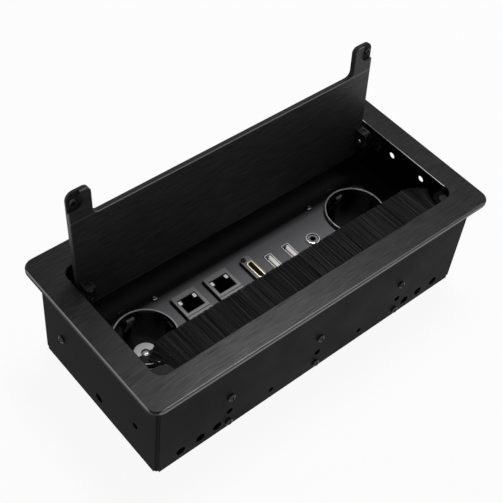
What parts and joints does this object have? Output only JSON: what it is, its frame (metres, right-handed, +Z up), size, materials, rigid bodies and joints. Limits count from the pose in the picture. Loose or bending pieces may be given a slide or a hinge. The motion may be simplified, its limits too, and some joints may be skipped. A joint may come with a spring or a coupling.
{
  "type": "recessed desk socket block",
  "caption": "Sunken desk trough with a notched hinged lid, brush cable outlet, round earthed mains sockets, network, video, data and audio ports.",
  "frame": {"origin": "centre of the trough's underside", "axes": "+X right along the long side seen from the brush side, +Y from the brush to the hinge, +Z up"},
  "size_m": [0.265, 0.1284, 0.1448],
  "materials": {
    "black_anodised": "brushed black anodised",
    "box_black": "satin black powder coat",
    "panel_grey": "satin dark grey",
    "steel": "bright",
    "dark_steel": "black oxide",
    "chrome": "polished",
    "gloss_black": "gloss",
    "matte_black": "matt",
    "module_grey": "satin grey",
    "tongue_white": "matt",
    "gold": "gold plated",
    "brass": "plain",
    "bristle": "nylon strands"
  },
  "bodies": {
    "block": {"audio_jack_body": "matte_black", "audio_jack_bush": "module_grey", "audio_jack_nut": "chrome", "bezel_frame": "black_anodised", "bottom_cover": "box_black", "brush_bristles": "bristle", "brush_holder": "dark_steel", "corner_magnets": "dark_steel", "cover_side_screws": "dark_steel", "data_port_block": "matte_black", "frame_nuts": "steel", "frame_studs": "steel", "hinge_pins": "steel", "hinge_spacers": "matte_black", "housing_box": "box_black", "left_back_housing": "matte_black", "left_centre_screw": "steel", "left_corner_support": "matte_black", "left_data_shell": "steel", "left_data_tongue": "tongue_white", "left_earth_clips": "steel", "left_hinge_bracket": "matte_black", "left_network_frame": "module_grey", "left_network_jack": "matte_black", "left_network_wires": "gold", "left_pin_contacts": "brass", "left_retaining_ring": "steel", "left_socket_insert": "gloss_black", "network_clamp": "matte_black", "panel_face_screws": "dark_steel", "panel_nuts": "steel", "panel_side_screws": "dark_steel", "panel_studs": "steel", "power_inlet": "matte_black", "power_inlet_pins": "steel", "right_back_housing": "matte_black", "right_centre_screw": "steel", "right_corner_support": "matte_black", "right_data_shell": "steel", "right_data_tongue": "tongue_white", "right_earth_clips": "steel", "right_hinge_bracket": "matte_black", "right_network_frame": "module_grey", "right_network_jack": "matte_black", "right_network_wires": "gold", "right_pin_contacts": "brass", "right_retaining_ring": "steel", "right_socket_insert": "gloss_black", "socket_panel": "panel_grey", "video_port_block": "matte_black", "video_port_plate": "panel_grey", "video_port_screws": "steel", "video_port_shell": "gold", "video_port_tongue": "matte_black"},
    "lid": {"lid_plate": "black_anodised", "left_hinge_knuckle": "matte_black", "right_hinge_knuckle": "matte_black", "knuckle_screws": "dark_steel", "lid_catch_screws": "dark_steel"}
  },
  "joints": [
    {"name": "lid_hinge", "type": "hinge", "parent": "block", "child": "lid", "pos_m": [0, 0.0289, 0.0708], "axis": [1, 0, 0], "range_deg": [0, 94]}
  ]
}
